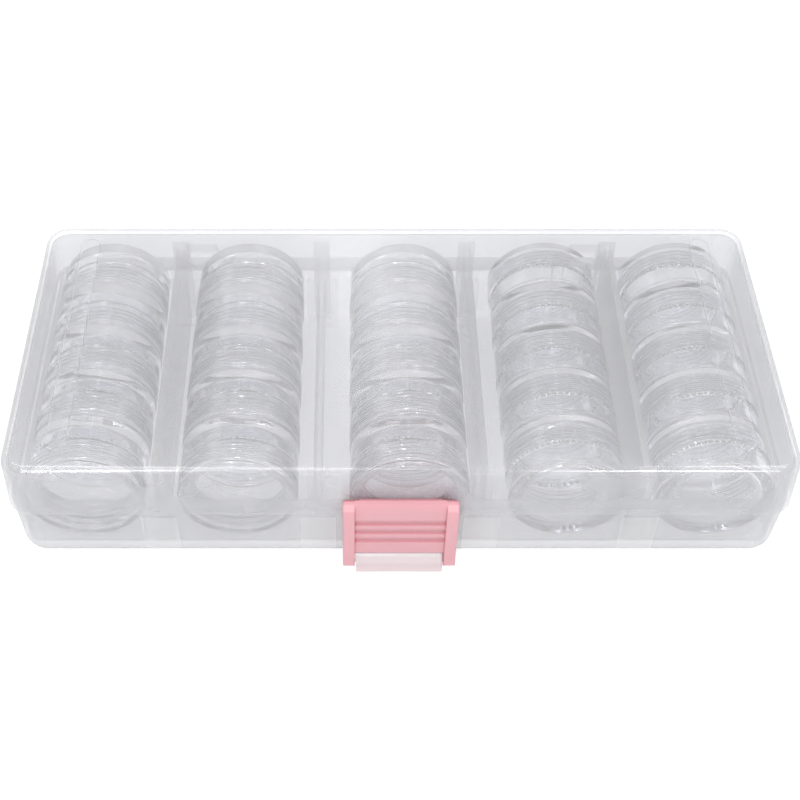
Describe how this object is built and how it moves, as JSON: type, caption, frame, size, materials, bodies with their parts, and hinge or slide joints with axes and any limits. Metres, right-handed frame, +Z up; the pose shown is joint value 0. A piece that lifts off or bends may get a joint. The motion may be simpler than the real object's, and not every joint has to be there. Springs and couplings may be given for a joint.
{
  "type": "bead storage case",
  "caption": "Shallow hinged case in clear plastic with a front snap latch and inner dividers, holding columns of small clear screw jars on their sides for beads.",
  "frame": {"origin": "middle of the flat face that the case rests on", "axes": "+X to the right of a person at the latch, +Y to the hinged back, +Z up"},
  "size_m": [0.178, 0.089, 0.0325],
  "materials": {
    "milky_polypropylene": "satin, slightly milky clear",
    "clear_polystyrene": "gloss, clear with a faint violet cast",
    "pink_polypropylene": "satin"
  },
  "bodies": {
    "base": {"case_base": "milky_polypropylene", "divider_1": "milky_polypropylene", "divider_2": "milky_polypropylene", "divider_3": "milky_polypropylene", "divider_4": "milky_polypropylene", "jar_1_1": "clear_polystyrene", "jar_1_2": "clear_polystyrene", "jar_1_3": "clear_polystyrene", "jar_1_4": "clear_polystyrene", "jar_1_5": "clear_polystyrene", "jar_2_1": "clear_polystyrene", "jar_2_2": "clear_polystyrene", "jar_2_3": "clear_polystyrene", "jar_2_4": "clear_polystyrene", "jar_2_5": "clear_polystyrene", "jar_3_1": "clear_polystyrene", "jar_3_2": "clear_polystyrene", "jar_3_3": "clear_polystyrene", "jar_3_4": "clear_polystyrene", "jar_3_5": "clear_polystyrene", "jar_4_1": "clear_polystyrene", "jar_4_2": "clear_polystyrene", "jar_4_3": "clear_polystyrene", "jar_4_4": "clear_polystyrene", "jar_4_5": "clear_polystyrene", "jar_5_1": "clear_polystyrene", "jar_5_2": "clear_polystyrene", "jar_5_3": "clear_polystyrene", "jar_5_4": "clear_polystyrene", "jar_5_5": "clear_polystyrene"},
    "lid": {"case_lid": "milky_polypropylene"},
    "latch": {"case_latch": "pink_polypropylene"},
    "cap_1_1": {"jar_cap_1_1": "clear_polystyrene"},
    "cap_1_2": {"jar_cap_1_2": "clear_polystyrene"},
    "cap_1_3": {"jar_cap_1_3": "clear_polystyrene"},
    "cap_1_4": {"jar_cap_1_4": "clear_polystyrene"},
    "cap_1_5": {"jar_cap_1_5": "clear_polystyrene"},
    "cap_2_1": {"jar_cap_2_1": "clear_polystyrene"},
    "cap_2_2": {"jar_cap_2_2": "clear_polystyrene"},
    "cap_2_3": {"jar_cap_2_3": "clear_polystyrene"},
    "cap_2_4": {"jar_cap_2_4": "clear_polystyrene"},
    "cap_2_5": {"jar_cap_2_5": "clear_polystyrene"},
    "cap_3_1": {"jar_cap_3_1": "clear_polystyrene"},
    "cap_3_2": {"jar_cap_3_2": "clear_polystyrene"},
    "cap_3_3": {"jar_cap_3_3": "clear_polystyrene"},
    "cap_3_4": {"jar_cap_3_4": "clear_polystyrene"},
    "cap_3_5": {"jar_cap_3_5": "clear_polystyrene"},
    "cap_4_1": {"jar_cap_4_1": "clear_polystyrene"},
    "cap_4_2": {"jar_cap_4_2": "clear_polystyrene"},
    "cap_4_3": {"jar_cap_4_3": "clear_polystyrene"},
    "cap_4_4": {"jar_cap_4_4": "clear_polystyrene"},
    "cap_4_5": {"jar_cap_4_5": "clear_polystyrene"},
    "cap_5_1": {"jar_cap_5_1": "clear_polystyrene"},
    "cap_5_2": {"jar_cap_5_2": "clear_polystyrene"},
    "cap_5_3": {"jar_cap_5_3": "clear_polystyrene"},
    "cap_5_4": {"jar_cap_5_4": "clear_polystyrene"},
    "cap_5_5": {"jar_cap_5_5": "clear_polystyrene"}
  },
  "joints": [
    {"name": "case_lid_hinge", "type": "hinge", "parent": "base", "child": "lid", "pos_m": [0, 0.0426, 0.0169], "axis": [-1, 0, 0], "range_deg": [0, 180]},
    {"name": "case_latch_hinge", "type": "hinge", "parent": "base", "child": "latch", "pos_m": [0, -0.0419, 0.0029], "axis": [1, 0, 0], "range_deg": [0, 90]},
    {"name": "jar_cap_1_1_turn", "type": "hinge", "parent": "base", "child": "cap_1_1", "pos_m": [-0.072, 0.02908, 0.0156], "axis": [0, -1, 0], "range_deg": [0, 360]},
    {"name": "jar_cap_1_2_turn", "type": "hinge", "parent": "base", "child": "cap_1_2", "pos_m": [-0.072, 0.01482, 0.0156], "axis": [0, -1, 0], "range_deg": [0, 360]},
    {"name": "jar_cap_1_3_turn", "type": "hinge", "parent": "base", "child": "cap_1_3", "pos_m": [-0.072, 0.00057, 0.0156], "axis": [0, -1, 0], "range_deg": [0, 360]},
    {"name": "jar_cap_1_4_turn", "type": "hinge", "parent": "base", "child": "cap_1_4", "pos_m": [-0.072, -0.01367, 0.0156], "axis": [0, -1, 0], "range_deg": [0, 360]},
    {"name": "jar_cap_1_5_turn", "type": "hinge", "parent": "base", "child": "cap_1_5", "pos_m": [-0.072, -0.02792, 0.0156], "axis": [0, -1, 0], "range_deg": [0, 360]},
    {"name": "jar_cap_2_1_turn", "type": "hinge", "parent": "base", "child": "cap_2_1", "pos_m": [-0.0369, 0.02908, 0.0156], "axis": [0, -1, 0], "range_deg": [0, 360]},
    {"name": "jar_cap_2_2_turn", "type": "hinge", "parent": "base", "child": "cap_2_2", "pos_m": [-0.0369, 0.01482, 0.0156], "axis": [0, -1, 0], "range_deg": [0, 360]},
    {"name": "jar_cap_2_3_turn", "type": "hinge", "parent": "base", "child": "cap_2_3", "pos_m": [-0.0369, 0.00057, 0.0156], "axis": [0, -1, 0], "range_deg": [0, 360]},
    {"name": "jar_cap_2_4_turn", "type": "hinge", "parent": "base", "child": "cap_2_4", "pos_m": [-0.0369, -0.01367, 0.0156], "axis": [0, -1, 0], "range_deg": [0, 360]},
    {"name": "jar_cap_2_5_turn", "type": "hinge", "parent": "base", "child": "cap_2_5", "pos_m": [-0.0369, -0.02792, 0.0156], "axis": [0, -1, 0], "range_deg": [0, 360]},
    {"name": "jar_cap_3_1_turn", "type": "hinge", "parent": "base", "child": "cap_3_1", "pos_m": [0.0024, 0.02908, 0.0156], "axis": [0, -1, 0], "range_deg": [0, 360]},
    {"name": "jar_cap_3_2_turn", "type": "hinge", "parent": "base", "child": "cap_3_2", "pos_m": [0.0024, 0.01482, 0.0156], "axis": [0, -1, 0], "range_deg": [0, 360]},
    {"name": "jar_cap_3_3_turn", "type": "hinge", "parent": "base", "child": "cap_3_3", "pos_m": [0.0024, 0.00057, 0.0156], "axis": [0, -1, 0], "range_deg": [0, 360]},
    {"name": "jar_cap_3_4_turn", "type": "hinge", "parent": "base", "child": "cap_3_4", "pos_m": [0.0024, -0.01367, 0.0156], "axis": [0, -1, 0], "range_deg": [0, 360]},
    {"name": "jar_cap_3_5_turn", "type": "hinge", "parent": "base", "child": "cap_3_5", "pos_m": [0.0024, -0.02792, 0.0156], "axis": [0, -1, 0], "range_deg": [0, 360]},
    {"name": "jar_cap_4_1_turn", "type": "hinge", "parent": "base", "child": "cap_4_1", "pos_m": [0.0384, 0.02908, 0.0156], "axis": [0, 1, 0], "range_deg": [0, 360]},
    {"name": "jar_cap_4_2_turn", "type": "hinge", "parent": "base", "child": "cap_4_2", "pos_m": [0.0384, 0.01482, 0.0156], "axis": [0, 1, 0], "range_deg": [0, 360]},
    {"name": "jar_cap_4_3_turn", "type": "hinge", "parent": "base", "child": "cap_4_3", "pos_m": [0.0384, 0.00057, 0.0156], "axis": [0, 1, 0], "range_deg": [0, 360]},
    {"name": "jar_cap_4_4_turn", "type": "hinge", "parent": "base", "child": "cap_4_4", "pos_m": [0.0384, -0.01367, 0.0156], "axis": [0, 1, 0], "range_deg": [0, 360]},
    {"name": "jar_cap_4_5_turn", "type": "hinge", "parent": "base", "child": "cap_4_5", "pos_m": [0.0384, -0.02792, 0.0156], "axis": [0, 1, 0], "range_deg": [0, 360]},
    {"name": "jar_cap_5_1_turn", "type": "hinge", "parent": "base", "child": "cap_5_1", "pos_m": [0.072, 0.02908, 0.0156], "axis": [0, 1, 0], "range_deg": [0, 360]},
    {"name": "jar_cap_5_2_turn", "type": "hinge", "parent": "base", "child": "cap_5_2", "pos_m": [0.072, 0.01482, 0.0156], "axis": [0, 1, 0], "range_deg": [0, 360]},
    {"name": "jar_cap_5_3_turn", "type": "hinge", "parent": "base", "child": "cap_5_3", "pos_m": [0.072, 0.00057, 0.0156], "axis": [0, 1, 0], "range_deg": [0, 360]},
    {"name": "jar_cap_5_4_turn", "type": "hinge", "parent": "base", "child": "cap_5_4", "pos_m": [0.072, -0.01367, 0.0156], "axis": [0, 1, 0], "range_deg": [0, 360]},
    {"name": "jar_cap_5_5_turn", "type": "hinge", "parent": "base", "child": "cap_5_5", "pos_m": [0.072, -0.02792, 0.0156], "axis": [0, 1, 0], "range_deg": [0, 360]}
  ]
}
